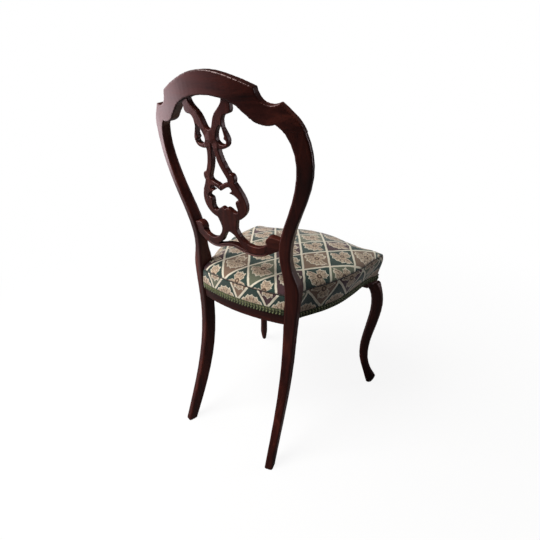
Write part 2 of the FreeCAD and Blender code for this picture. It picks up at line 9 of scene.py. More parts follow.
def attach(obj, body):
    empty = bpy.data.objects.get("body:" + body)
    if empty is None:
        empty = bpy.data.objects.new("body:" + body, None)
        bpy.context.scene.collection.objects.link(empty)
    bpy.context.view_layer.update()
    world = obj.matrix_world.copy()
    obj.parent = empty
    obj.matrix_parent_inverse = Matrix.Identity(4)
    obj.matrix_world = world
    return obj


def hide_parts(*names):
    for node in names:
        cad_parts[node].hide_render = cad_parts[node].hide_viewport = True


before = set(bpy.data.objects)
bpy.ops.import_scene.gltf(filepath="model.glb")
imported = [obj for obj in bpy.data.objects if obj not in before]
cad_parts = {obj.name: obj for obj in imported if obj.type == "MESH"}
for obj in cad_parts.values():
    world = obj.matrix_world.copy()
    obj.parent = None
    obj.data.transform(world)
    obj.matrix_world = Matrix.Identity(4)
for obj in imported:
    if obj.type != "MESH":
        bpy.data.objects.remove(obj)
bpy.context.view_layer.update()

MM = 0.001

# Seat plan in millimetres, half of it from the rear centre round the sitter's left to the front

SHIFT_Y = -43.32
RAIL_PLAN = [
    [(0, 191), (47, 188.8), (95, 182), (142, 170.7)],
    [(142, 170.7), (134, 150)],
    [(134, 150), (136, 131), (148, 107), (166, 70), (180.5, 22), (187, -38), (190, -98), (204.8, -147)],
    [(204.8, -147), (204.6, -152.4), (199, -152.8)],
    [(199, -152.8), (169, -152), (140, -152), (100, -160), (50, -176), (0, -181)],
]
SEAM_PLAN = [
    [(0, 184), (47, 182.6), (95, 177.6), (142, 167)],
    [(142, 167), (148, 150)],
    [(148, 150), (149, 131), (156, 107), (174.5, 70), (190.5, 22), (203.5, -38), (209, -98), (214.5, -147)],
    [(214.5, -147), (214.2, -154.6), (207, -156)],
    [(207, -156), (185, -152), (155, -154), (112, -166), (56, -186), (0, -192)],
]
SEAM = 428.0
SHOULDER_RISE = 14.0
CROWN_RISE = 26.0
SHOULDER_WIDE = 9
CROWN_WIDE = 170
EASE_WIDE = 165
INSET_WIDE = 200
INSET_LONG = 188
# Product of x and y at the front corners, against which nearness to a corner is measured
CORNER_PRODUCT = 32000
CORNER_EASE = 0.18
CORNER_DROP = 0.45
FABRIC_OUT = 2.5
CLOTH = 1.9
REAR_BOTTOM = 382.0
SIDE_BOTTOM = 356.0
UNDERSIDE = 405.2
SIDE_SWELL = [(356, 0), (372, 0), (386, 0.32), (401, 0.77), (414, 1.06), (428, 1)]
REAR_SWELL = [(356, 0), (396, 0), (404, 0.3), (414, 0.75), (428, 1)]
COLUMNS = 420
# Points to each span of a curve
SPAN_STEPS = 8
SEAT_MIDDLE = -4.0

# Trellis of the tapestry: the diamonds' width and length, and where one crossing lies
DIAMOND_WIDE = 81.0
DIAMOND_LONG = 110.0
TOP_CROSSING = (4.5, 137.7)
# Share of a slope's extra length that the cloth takes up
SLOPE_SHARE = 0.6


# Materials


class Shader:
    """A material with short calls that add its nodes."""

    def __init__(self, name, **surface):
        self.material = bpy.data.materials.new(name)
        self.material.use_nodes = True
        self.nodes = self.material.node_tree.nodes
        self.links = self.material.node_tree.links
        self.surface = self.nodes["Principled BSDF"]
        for socket, value in surface.items():
            self.surface.inputs[socket.replace("_", " ")].default_value = value

    def add(self, kind, inputs=None, **settings):
        node = self.nodes.new(kind)
        for key, value in settings.items():
            setattr(node, key, value)
        for key, value in (inputs or {}).items():
            self.put(node.inputs[key], value)
        return node

    def put(self, socket, value):
        if isinstance(value, bpy.types.NodeSocket):
            self.links.new(value, socket)
        else:
            socket.default_value = value

    def calc(self, operation, first, second=0.0, third=0.0):
        node = self.add("ShaderNodeMath", {0: first, 1: second, 2: third}, operation=operation)
        return node.outputs[0]

    def place(self):
        return self.add("ShaderNodeTexCoord").outputs["Object"]

    def stretched(self, vector, scale):
        return self.add("ShaderNodeMapping", {"Vector": vector, "Scale": scale}).outputs[0]

    def noise(self, vector, scale, detail=3.0, roughness=0.5, distortion=0.0):
        inputs = {"Vector": vector, "Scale": scale, "Detail": detail}
        inputs.update({"Roughness": roughness, "Distortion": distortion})
        return self.add("ShaderNodeTexNoise", inputs).outputs[0]

    def span(self, value, low, high, start=0.0, end=1.0):
        """Value carried from low..high to start..end, and held there."""
        inputs = {0: value, 1: low, 2: high, 3: start, 4: end}
        return self.add("ShaderNodeMapRange", inputs, interpolation_type="SMOOTHSTEP").outputs[0]

    def ramp(self, value, stops, blend="LINEAR"):
        node = self.add("ShaderNodeValToRGB", {0: value})
        node.color_ramp.interpolation = blend
        marks = node.color_ramp.elements
        while len(marks) < len(stops):
            marks.new(0.5)
        for mark, (position, colour) in zip(marks, stops):
            mark.position = position
            mark.color = (*colour, 1)
        return node.outputs[0]

    def mix(self, factor, first, second, blend="MIX"):
        node = self.add("ShaderNodeMix", data_type="RGBA", blend_type=blend)
        for index, value in ((0, factor), (6, first), (7, second)):
            if isinstance(value, tuple):
                value = (*value, 1)
            self.put(node.inputs[index], value)
        return node.outputs[2]

    def bump(self, height, strength, distance, under=None):
        inputs = {"Strength": strength, "Distance": distance, "Height": height}
        if under:
            inputs["Normal"] = under
        return self.add("ShaderNodeBump", inputs).outputs[0]

    def finish(self, colour, roughness=None, normal=None):
        self.put(self.surface.inputs["Base Color"], colour)
        if roughness is not None:
            self.put(self.surface.inputs["Roughness"], roughness)
        if normal is not None:
            self.put(self.surface.inputs["Normal"], normal)
        return self.material


DARK_STAIN = (0.0065, 0.0011, 0.0009)
MIDDLE_STAIN = (0.036, 0.0052, 0.0026)
LIGHT_STAIN = (0.098, 0.019, 0.0100)
RUBBED_STAIN = (0.110, 0.036, 0.021)


def polished_wood(name, axis):
    """Dark stained wood with its grain along the axis, under an old satin polish."""
    polish = {"Coat_Weight": 0.17, "Coat_Roughness": 0.34, "Specular_IOR_Level": 0.36}
    shader = Shader(name, Specular_Tint=(1.0, 0.64, 0.64, 1.0), **polish)
    place = shader.place()
    along = [55.0, 55.0, 55.0]
    along[axis] = 4.0
    fine = [700.0, 700.0, 700.0]
    fine[axis] = 22.0
    figure = shader.noise(shader.stretched(place, along), 1.0, 6, 0.6, 0.8)
    pores = shader.noise(shader.stretched(place, fine), 1.0, 3, 0.6)
    cloud = shader.noise(place, 7.0, 2)
    tone = shader.calc("ADD", shader.calc("MULTIPLY", figure, 0.62), shader.calc("MULTIPLY", cloud, 0.38))
    colour = shader.ramp(tone, [(0.34, DARK_STAIN), (0.52, MIDDLE_STAIN), (0.7, LIGHT_STAIN)])
    dark_pores = shader.span(pores, 0.36, 0.46, 0.55, 1.0)
    colour = shader.mix(1.0, colour, dark_pores, "MULTIPLY")
    edge = shader.add("ShaderNodeNewGeometry").outputs["Pointiness"]
    rubbed = shader.calc("MULTIPLY", shader.span(edge, 0.52, 0.62), shader.span(cloud, 0.42, 0.6, 0.2, 0.7))
    colour = shader.mix(rubbed, colour, RUBBED_STAIN)
    wear = shader.calc("ADD", cloud, shader.calc("MULTIPLY", figure, 0.4))
    roughness = shader.span(wear, 0.5, 0.9, 0.3, 0.46)
    normal = shader.bump(pores, 0.18, 0.0004)
    normal = shader.bump(figure, 0.12, 0.0008, normal)
    return shader.finish(colour, roughness, normal)


def plain_wood(name, axis):
    """Pale unfinished wood with its grain along the axis."""
    shader = Shader(name, Specular_IOR_Level=0.3)
    place = shader.place()
    along = [90.0, 90.0, 90.0]
    along[axis] = 6.0
    figure = shader.noise(shader.stretched(place, along), 1.0, 5, 0.6, 0.5)
    colour = shader.ramp(figure, [(0.3, (0.30, 0.17, 0.085)), (0.7, (0.52, 0.34, 0.19))])
    return shader.finish(colour, shader.span(figure, 0.3, 0.7, 0.62, 0.8), shader.bump(figure, 0.2, 0.0005))


def metal(name, dark, light, roughness):
    """Bare metal whose fine wear changes its tone and its gloss."""
    shader = Shader(name, Metallic=0.9)
    wear = shader.noise(shader.place(), 420.0, 4, 0.6)
    colour = shader.ramp(wear, [(0.35, dark), (0.65, light)])
    gloss = shader.span(wear, 0.3, 0.7, roughness, roughness + 0.25)
    return shader.finish(colour, gloss, shader.bump(wear, 0.2, 0.0002))


def woven(shader, u, v, pitch):
    """Height of a plain weave: threads over and under each other at this pitch in metres."""
    across = shader.calc("SINE", shader.calc("MULTIPLY", u, math.tau / pitch))
    down = shader.calc("SINE", shader.calc("MULTIPLY", v, math.tau / pitch))
    return shader.calc("MULTIPLY_ADD", shader.calc("MULTIPLY", across, down), 0.5, 0.5)


def cloth(name, dark, light, pitch, strength=0.5):
    """Plain weave of one colour with slubs in it, at this pitch in metres."""
    shader = Shader(name, Sheen_Weight=0.25, Sheen_Roughness=0.5, Specular_IOR_Level=0.2)
    place = shader.place()
    parts = shader.add("ShaderNodeSeparateXYZ", {0: place}).outputs
    weave = woven(shader, parts[0], parts[1], pitch)
    slub = shader.noise(shader.stretched(place, (300.0, 40.0, 300.0)), 1.0, 3)
    tone = shader.calc("ADD", shader.calc("MULTIPLY", weave, 0.5), shader.calc("MULTIPLY", slub, 0.5))
    colour = shader.ramp(tone, [(0.25, dark), (0.75, light)])
    roughness = shader.span(slub, 0.3, 0.7, 0.82, 0.95)
    return shader.finish(colour, roughness, shader.bump(tone, strength, 0.0006))


# Colours of the tapestry
CREAM = (0.62, 0.58, 0.46)
BEIGE = (0.50, 0.39, 0.275)
BEIGE_DEEP = (0.29, 0.205, 0.135)
BROWN = (0.075, 0.04, 0.024)
GREEN = (0.015, 0.039, 0.031)
TAN = (0.165, 0.105, 0.068)
SAGE = (0.105, 0.119, 0.076)
MAUVE = (0.052, 0.021, 0.026)

# Widths in the tapestry and the gimp, in metres
RIB_PITCH = 0.0016
PLY_PITCH = 0.0032

# Petals round the fan blossom, with finer notches and strokes
PETALS = 12.0
NOTCHES = 26.0
STROKES = 36.0

# Outline of the fan blossom: (share of the half turn from its head, reach in half diamond lengths)
FAN = [
    (0.0, 0.46), (0.15, 0.44), (0.28, 0.36), (0.36, 0.19), (0.43, 0.15), (0.5, 0.3),
    (0.555, 0.6), (0.6, 0.56), (0.7, 0.5), (1.0, 0.5),
]


def tapestry():
    """Cream trellis on the cloth's own coordinates, with a flower and leaves in each diamond."""
    shader = Shader("tapestry", Sheen_Weight=0.3, Sheen_Roughness=0.5, Specular_IOR_Level=0.2)
    calc = shader.calc
    flat = shader.add("ShaderNodeUVMap", uv_map="cloth").outputs[0]
    parts = shader.add("ShaderNodeSeparateXYZ", {0: flat}).outputs
    u, v = parts[0], parts[1]
    wobble = calc("MULTIPLY", calc("SUBTRACT", shader.noise(flat, 60.0, 2), 0.5), 0.05)
    wide = calc("DIVIDE", u, DIAMOND_WIDE * MM)
    long = calc("DIVIDE", v, DIAMOND_LONG * MM)
    first = calc("ADD", calc("SUBTRACT", calc("MULTIPLY", wide, -1.0), long), wobble)
    second = calc("SUBTRACT", calc("SUBTRACT", long, wide), wobble)
    row, column = calc("FLOOR", first), calc("FLOOR", second)
    a = calc("SUBTRACT", calc("FRACT", first), 0.5)
    b = calc("SUBTRACT", calc("FRACT", second), 0.5)
    edge = calc("SUBTRACT", 0.5, calc("MAXIMUM", calc("ABSOLUTE", a), calc("ABSOLUTE", b)))
    line = shader.span(edge, 0.034, 0.046, 1.0, 0.0)

    total = calc("ADD", row, column)
    odd = calc("FLOORED_MODULO", total, 2.0)
    step = calc("FLOORED_MODULO", calc("MULTIPLY", calc("SUBTRACT", row, column), 0.5), 2.0)
    which = calc("FLOORED_MODULO", calc("ADD", calc("MULTIPLY", total, 0.5), step), 3.0)
    ground = shader.mix(calc("GREATER_THAN", which, 0.5), SAGE, MAUVE)
    ground = shader.mix(calc("GREATER_THAN", which, 1.5), ground, TAN)
    ground = shader.mix(odd, ground, GREEN)

    # The motif: a fan of petals round a dark heart, its head towards the front, mirrored across
    shaded = shader.noise(flat, 230.0, 3, 0.6)
    swing = calc("MULTIPLY", calc("SUBTRACT", shader.noise(flat, 75.0, 2), 0.5), 0.35)
    across = calc("MULTIPLY", calc("ABSOLUTE", calc("ADD", a, b)), DIAMOND_WIDE / DIAMOND_LONG)
    ahead = calc("SUBTRACT", calc("SUBTRACT", a, b), 0.12)
    turn = calc("ADD", calc("ARCTAN2", across, ahead), swing)
    reach = calc("SQRT", calc("ADD", calc("MULTIPLY", across, across), calc("MULTIPLY", ahead, ahead)))
    marks = [(at, (size, size, size)) for at, size in FAN]
    outline = shader.ramp(calc("DIVIDE", turn, math.pi), marks, "EASE")

    def lobes(count, size):
        return calc("MULTIPLY", calc("COSINE", calc("MULTIPLY", turn, count)), size)

    scallops = calc("ADD", lobes(PETALS, 0.032), lobes(NOTCHES, 0.012))
    inside = calc("SUBTRACT", calc("ADD", outline, scallops), reach)
    motif = shader.span(inside, -0.008, 0.008)
    rim = shader.span(inside, 0.03, 0.06, 0.9, 0.0)
    beyond = shader.span(reach, 0.13, 0.2)
    parting = calc("MULTIPLY", shader.span(lobes(PETALS, 1.0), -0.95, -0.6, 0.75, 0.0), beyond)
    strokes = calc("MULTIPLY", shader.span(lobes(STROKES, 1.0), 0.5, 0.95, 0.0, 0.45), beyond)
    ring = shader.span(calc("ABSOLUTE", calc("SUBTRACT", reach, 0.08)), 0.02, 0.045, 0.95, 0.0)
    tier = calc("ABSOLUTE", calc("ADD", calc("SUBTRACT", reach, 0.3), lobes(PETALS, 0.04)))
    tiers = shader.span(tier, 0.006, 0.02, 0.7, 0.0)
    print_colour = shader.mix(shader.span(shaded, 0.42, 0.58), BEIGE_DEEP, BEIGE)
    print_colour = shader.mix(strokes, print_colour, CREAM)
    print_colour = shader.mix(tiers, print_colour, BROWN)
    print_colour = shader.mix(parting, print_colour, BROWN)
    print_colour = shader.mix(rim, print_colour, CREAM)
    print_colour = shader.mix(ring, print_colour, BROWN)
    colour = shader.mix(motif, ground, print_colour)
    colour = shader.mix(line, colour, CREAM)

    # Fine ribbed weave, and a little wear and dust over all
    weave = woven(shader, u, v, RIB_PITCH)
    speck = shader.noise(shader.stretched(flat, (900.0, 620.0, 900.0)), 1.0, 2)
    grain = calc("ADD", calc("MULTIPLY", weave, 0.45), calc("MULTIPLY", speck, 0.55))
    shade = shader.span(grain, 0.25, 0.75, 0.78, 1.14)
    colour = shader.mix(1.0, colour, shade, "MULTIPLY")
    raised = calc("ADD", grain, calc("MULTIPLY", calc("ADD", line, motif), 0.35))
    return shader.finish(colour, shader.span(grain, 0.3, 0.7, 0.8, 0.92), shader.bump(raised, 0.55, 0.0007))


def olive_braid(name, dark, light):
    """Cord of slanting plies, whose lay runs along the cord's own coordinates."""
    shader = Shader(name, Sheen_Weight=0.35, Sheen_Roughness=0.45, Specular_IOR_Level=0.25)
    flat = shader.add("ShaderNodeUVMap", uv_map="cloth").outputs[0]
    parts = shader.add("ShaderNodeSeparateXYZ", {0: flat})
    lay = shader.calc("ADD", parts.outputs[0], shader.calc("MULTIPLY", parts.outputs[1], 0.8))
    wave = shader.calc("SINE", shader.calc("MULTIPLY", lay, math.tau / PLY_PITCH))
    ply = shader.calc("MULTIPLY_ADD", wave, 0.5, 0.5)
    tint = shader.noise(shader.place(), 160.0, 3)
    tone = shader.calc("ADD", shader.calc("MULTIPLY", ply, 0.55), shader.calc("MULTIPLY", tint, 0.45))
    colour = shader.ramp(tone, [(0.25, dark), (0.7, light)])
    return shader.finish(colour, shader.span(tint, 0.3, 0.7, 0.7, 0.9), shader.bump(ply, 0.6, 0.0004))


WOOD = [polished_wood("polished_wood_" + letter, axis) for axis, letter in enumerate("xyz")]
BEECH = plain_wood("beech", 0)
STEEL = metal("bright_steel", (0.30, 0.29, 0.28), (0.55, 0.54, 0.52), 0.28)
BLUED = metal("blued_steel", (0.020, 0.022, 0.030), (0.075, 0.08, 0.095), 0.35)
TAPESTRY = tapestry()
BRAID = olive_braid("olive_braid", (0.075, 0.088, 0.032), (0.250, 0.275, 0.125))
# Darker copies of the braid's colour: painted shade on the gimp's thin cords, which lie under the short
# cords, and on its band, which lies under all of them
BRAID_SHADED_CORDS = olive_braid("olive_braid_shaded_cords", (0.022, 0.030, 0.010), (0.085, 0.105, 0.040))
BRAID_SHADED_BAND = olive_braid("olive_braid_shaded_band", (0.010, 0.016, 0.005), (0.040, 0.055, 0.018))
# A near-black cord in the seam: painted shade for the shadow that the top's fold casts there
SEAM_SHADE_CORD = cloth("seam_shade_cord", (0.008, 0.006, 0.005), (0.035, 0.024, 0.018), 0.0010)
WEBBING = cloth("jute_webbing", (0.20, 0.13, 0.065), (0.46, 0.34, 0.19), 0.0030)
HESSIAN = cloth("hessian", (0.24, 0.16, 0.085), (0.50, 0.37, 0.22), 0.0022)
CAMBRIC = cloth("black_cambric", (0.010, 0.010, 0.012), (0.034, 0.034, 0.038), 0.0009, 0.3)

# Making pieces

WELD = 0.00002
# Most that a corner moves when a mesh grows, as a share of the growth: plain pieces, thin strands
CORNER_LIMIT = 1.4
STRAND_LIMIT = 3.0
# Shares of the growth of a carved piece before and after its even remesh
GROWTH_SHARES = (0.6, 0.4)
# Steps of one smoothing pass, in and out again
SMOOTHING = (0.5, -0.52)


def add_piece(name, mesh, material, slot, *nodes):
    """A new object that stands for these CAD nodes and rides on the frame."""
    piece = bpy.data.objects.new(name, mesh)
    bpy.context.scene.collection.objects.link(piece)
    if mesh.materials:
        mesh.materials.clear()
    mesh.materials.append(material)
    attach(piece, "root")
    if nodes:
        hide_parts(*nodes)
    return piece


def applied(mesh, *modifiers):
    """The mesh after these modifiers, each given as (kind, settings)."""
    holder = bpy.data.objects.new("holder", mesh)
    bpy.context.scene.collection.objects.link(holder)
    for kind, settings in modifiers:
        modifier = holder.modifiers.new(kind, kind)
        for key, value in settings.items():
            setattr(modifier, key, value)
    graph = bpy.context.evaluated_depsgraph_get()
    result = bpy.data.meshes.new_from_object(holder.evaluated_get(graph))
    bpy.data.objects.remove(holder)
    return result


def welded(node, swell=0.0, most=CORNER_LIMIT):
    """A closed copy of a CAD node's mesh, moved outward by swell, at corners up to most times that."""
    work = bmesh.new()
    work.from_mesh(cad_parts[node].data)
    bmesh.ops.remove_doubles(work, verts=work.verts, dist=WELD)
    bmesh.ops.recalc_face_normals(work, faces=work.faces)
    work.normal_update()
    if swell:
        moves = [vert.normal * swell * min(vert.calc_shell_factor(), most) for vert in work.verts]
        for vert, move in zip(work.verts, moves):
            vert.co += move
    mesh = bpy.data.meshes.new(node + "_copy")
    work.to_mesh(mesh)
    work.free()
    return mesh


def smooth(mesh, angle=180.0):
    """The mesh shaded smooth, with edges steeper than the angle kept sharp."""
    mesh.shade_smooth()
    if angle < 180:
        mesh.set_sharp_from_angle(angle=math.radians(angle))
    return mesh


def relaxed(mesh, passes):
    """Smooth the mesh in pairs of steps, in and out again, so that it keeps its thickness."""
    count = len(mesh.vertices)
    points = np.empty(count * 3)
    mesh.vertices.foreach_get("co", points)
    points = points.reshape(-1, 3)
    ends = np.empty(len(mesh.edges) * 2, int)
    mesh.edges.foreach_get("vertices", ends)
    first, second = ends.reshape(-1, 2).T
    degree = np.bincount(ends, minlength=count)[:, None]
    for step in SMOOTHING * passes:
        near = np.zeros_like(points)
        for axis in range(3):
            near[:, axis] += np.bincount(first, points[second, axis], count)
            near[:, axis] += np.bincount(second, points[first, axis], count)
        points += (near / degree - points) * step
    mesh.vertices.foreach_set("co", points.ravel())
    mesh.update()
    return mesh


def without_crumbs(mesh):
    """The mesh without the small loose bits that a remesh can leave beside thin strands."""
    work = bmesh.new()
    work.from_mesh(mesh)
    seen = set()
    parts = []
    for start in work.verts:
        if start in seen:
            continue
        seen.add(start)
        part = [start]
        for vert in part:
            for edge in vert.link_edges:
                other = edge.other_vert(vert)
                if other not in seen:
                    seen.add(other)
                    part.append(other)
        parts.append(part)
    most = max(len(part) for part in parts)
    crumbs = [vert for part in parts if len(part) < most for vert in part]
    bmesh.ops.delete(work, geom=crumbs, context="VERTS")
    work.to_mesh(mesh)
    work.free()
    return mesh


def grown(node, swell):
    """The CAD node moved outward in two steps, so that its thinnest strands stay whole."""
    first, second = GROWTH_SHARES
    mesh = welded(node, swell * first, STRAND_LIMIT)
    mesh = applied(mesh, ("REMESH", {"mode": "VOXEL", "voxel_size": STRAND_VOXEL}))
    for vert, move in [(vert, vert.normal * swell * second) for vert in mesh.vertices]:
        vert.co += move
    return mesh


def rounded(node, voxel, passes, swell=0.0):
    """The CAD node with its arrises rubbed round, as hand-finished wood has them."""
    if voxel == CARVED_VOXEL:
        mesh = grown(node, swell)
    else:
        mesh = welded(node, swell)
    if node in OVERLAPS:
        for vert in mesh.vertices:
            if abs(vert.co.z - JOINT) < JOINT_NEAR:
                reach = OVERLAPS[node]
                vert.co += Vector((-math.copysign(JOINT_LEAN[0], vert.co.x), JOINT_LEAN[1], 1)) * reach
    remesh = ("REMESH", {"mode": "VOXEL", "voxel_size": voxel, "use_smooth_shade": True})
    mesh = smooth(relaxed(without_crumbs(applied(mesh, remesh)), passes))
    for vert in mesh.vertices:
        vert.co.z = max(vert.co.z, 0.0)
    return mesh


def from_grid(name, rows):
    """Mesh over closed rows of points, each row joined to the next."""
    count = len(rows[0])
    points = [tuple(point) for row in rows for point in row]
    faces = []
    for i in range(len(rows) - 1):
        for j in range(count):
            k = (j + 1) % count
            faces.append((i * count + j, i * count + k, (i + 1) * count + k, (i + 1) * count + j))
    mesh = bpy.data.meshes.new(name)
    mesh.from_pydata(points, [], faces)
    return mesh


# Wood: the CAD nodes' shapes with softened arrises

CARVED_VOXEL = 0.0009
STRAND_VOXEL = 0.0006
PLAIN_VOXEL = 0.0018

# The crest and the stiles reach a little into each other, so that only a fine line shows between them
JOINT = 0.777
JOINT_NEAR = 0.0006
JOINT_LEAN = (0.38, 0.28)
OVERLAPS = {"crest_rail": -0.0025, "stile_left": 0.0025, "stile_right": 0.0025}

# Carving, in millimetres: the rolled front edge, the fine line behind it, and the flute at the back
ROLL_DEEP = 1.3
ROLL_WIDE = 4.2
LINE_DEEP = 0.75
LINE_IN = 5.0
LINE_WIDE = 0.8
FLUTE_DEEP = 2.3
FLUTE_IN = 2.2
FLUTE_EASE = 1.5
FLUTE_REACH = 88.0
FLUTE_END = 8.0


def carved(mesh, fluted):
    """Round the front edges, cut a fine line that follows them, and flute the back if asked."""
    sides = [vert.co.copy() for vert in mesh.vertices if abs(vert.normal.y) < 0.55]
    tree = kdtree.KDTree(len(sides))
    for index, point in enumerate(sides):
        tree.insert(point, index)
    tree.balance()
    for vert in mesh.vertices:
        distance = tree.find(vert.co)[2] / MM
        if vert.normal.y < -0.75:
            roll = ROLL_DEEP * max(0.0, 1 - distance / ROLL_WIDE) ** 2
            line = LINE_DEEP * math.exp(-(((distance - LINE_IN) / LINE_WIDE) ** 2))
            vert.co.y += (roll + line) * MM
        elif fluted and vert.normal.y > 0.6:
            ends = min(1.0, max(0.0, (FLUTE_REACH - abs(vert.co.x) / MM) / FLUTE_END))
            hollow = min(1.0, max(0.0, (distance - FLUTE_IN) / FLUTE_EASE))
            vert.co.y -= FLUTE_DEEP * MM * hollow**2 * (3 - 2 * hollow) * ends
    return mesh


# (piece, grain axis, voxel, smoothing passes, growth that keeps thin strands whole)
wooden = [
    ("splat", 2, CARVED_VOXEL, 2, 0.0013),
    ("cross_rail", 0, CARVED_VOXEL, 6, 0.0004),
    ("crest_rail", 0, PLAIN_VOXEL, 5, 0.0004),
    ("rear_rail", 0, PLAIN_VOXEL, 4, 0.0002),
    ("stile_left", 2, PLAIN_VOXEL, 8, 0.0006),
    ("stile_right", 2, PLAIN_VOXEL, 8, 0.0006),
    ("front_leg_left", 2, PLAIN_VOXEL, 14, 0.0013),
    ("front_leg_right", 2, PLAIN_VOXEL, 14, 0.0013),
]
for node, axis, voxel, passes, swell in wooden:
    shape = rounded(node, voxel, passes, swell)
    if voxel == CARVED_VOXEL:
        shape = carved(shape, node == "cross_rail")
    add_piece(node + "_polished", shape, WOOD[axis], "mahogany", node)

kept = {
    "side_rail_left": WOOD[1], "side_rail_right": WOOD[1], "front_rail": WOOD[0],
    "corner_block_rear_left": BEECH, "corner_block_rear_right": BEECH,
    "corner_block_front_left": BEECH, "corner_block_front_right": BEECH,
    "crest_dowels": BEECH, "cross_rail_dowels": BEECH, "seat_rail_dowels": BEECH,
    "corner_screws": STEEL, "webbing_tacks": BLUED, "dust_cover_tacks": BLUED,
}
for node, material in kept.items():
    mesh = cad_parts[node].data
    for index in range(len(mesh.materials)):
        mesh.materials[index] = material


# Seat outline


def curved(points, before=None, after=None):
    """Points along a smooth curve through these, without the last one."""
    if len(points) == 2:
        steps = np.linspace(0, 1, SPAN_STEPS, endpoint=False)
        start, end = np.array(points, float)
        return [start + (end - start) * step for step in steps]
    chain = [before or points[0], *points, after or points[-1]]
    chain = np.array(chain, float)
    result = []
    for i in range(1, len(chain) - 2):
        p0, p1, p2, p3 = chain[i - 1:i + 3]
        for t in np.linspace(0, 1, SPAN_STEPS, endpoint=False):
            bend = 2 * p0 - 5 * p1 + 4 * p2 - p3
            twist = 3 * p1 - p0 - 3 * p2 + p3
            result.append((2 * p1 + (p2 - p0) * t + bend * t**2 + twist * t**3) / 2)
    return result


def full_loop(plan):
    """Closed loop of points from the rear centre, clockwise from above, and which are at the rear."""
    half = []
    rear = []
    for number, part in enumerate(plan):
        before = (-part[1][0], part[1][1]) if number == 0 else None
        after = (-part[-2][0], part[-2][1]) if number == len(plan) - 1 else None
        points = curved(part, before, after)
        half += points
        rear += [1.0 if number == 0 else 0.0 for point in points]
    half.append(np.array(plan[-1][-1], float))
    rear.append(0.0)
    loop = half + [point * (-1, 1) for point in reversed(half[1:-1])]
    return np.array(loop), np.array(rear + rear[-2:0:-1])


def around(values, times=3):
    """Closed row of values smoothed with its neighbours."""
    for _ in range(times):
        values = (np.roll(values, 1, 0) + 2 * values + np.roll(values, -1, 0)) / 4
    return values


rail_loop, at_rear = full_loop(RAIL_PLAN)
seam_loop, _ = full_loop(SEAM_PLAN)
sides = np.linalg.norm(np.roll(seam_loop, -1, 0) - seam_loop, axis=1)
travel = np.concatenate([[0], np.cumsum(sides)])
PERIMETER = travel[-1]
column_places = np.linspace(0, PERIMETER, COLUMNS, endpoint=False)


def resampled(values):
    """These values along the loop, one row for each column."""
    closed = np.vstack([values, values[:1]])
    channels = range(closed.shape[1])
    return np.stack([np.interp(column_places, travel, closed[:, k]) for k in channels], 1)


rail_loop = around(resampled(rail_loop))
seam_loop = around(resampled(seam_loop))
REAR = around(resampled(at_rear[:, None]), 2)[:, 0]


def outward(loop):
    """Directions out of the loop at its points, level and of length one."""
    along = np.roll(loop, -1, 0) - np.roll(loop, 1, 0)
    along /= np.linalg.norm(along, axis=1)[:, None]
    return np.stack([-along[:, 1], along[:, 0]], 1)


def swollen(level):
    """The seat's outline at these levels, one for each column."""
    side = np.interp(level, *zip(*SIDE_SWELL))
    rear = np.interp(level, *zip(*REAR_SWELL))
    share = (side + (rear - side) * REAR)[:, None]
    return rail_loop + (seam_loop - rail_loop) * share


def wall(level, out):
    """Points of the seat's side at these levels, moved this far out."""
    level = np.broadcast_to(level, COLUMNS).astype(float)
    loop = swollen(level)
    loop = loop + outward(around(loop, 2)) * out
    return np.column_stack([loop, level])


def lumps(points, size, spacing, seed):
    """Gentle unevenness, the same on every run, for rows of millimetre points."""
    offset = Vector((seed, seed * 2, seed * 3))
    return np.array([noise.noise(Vector(point) / spacing + offset) * size for point in points])


# The stuffed seat: fabric border, seam, crowned top and flat underside in one closed form


def dome_row(inset):
    """Ring of the crowned top at this distance in from the seam."""
    shoulder = SHOULDER_RISE * (1 - math.exp(-inset / SHOULDER_WIDE))
    rise = shoulder + CROWN_RISE * (1 - (1 - inset / CROWN_WIDE) ** 2)
    edge = wall(SEAM, FABRIC_OUT)[:, :2]
    ease = 1 - CORNER_EASE * inset / EASE_WIDE * (edge[:, 0] * edge[:, 1] / CORNER_PRODUCT) ** 2
    x = edge[:, 0] * (1 - inset / INSET_WIDE) * ease
    y = (edge[:, 1] - (edge[:, 1] - SEAT_MIDDLE) * inset / INSET_LONG) * ease
    corner = np.maximum(0, (-abs(x) * y / CORNER_PRODUCT - 0.2) / 0.8) ** 2
    return np.column_stack([x, y, SEAM + rise * (1 - CORNER_DROP * corner)])


def shoulders():
    """Distances in from the seam, close together where the top turns over."""
    near = np.array([2.6, 3.6, 4.8, 6.2, 8, 10.2, 12.8, 16, 20, 25])
    return np.concatenate([near, np.arange(31, 182, 6.5)])


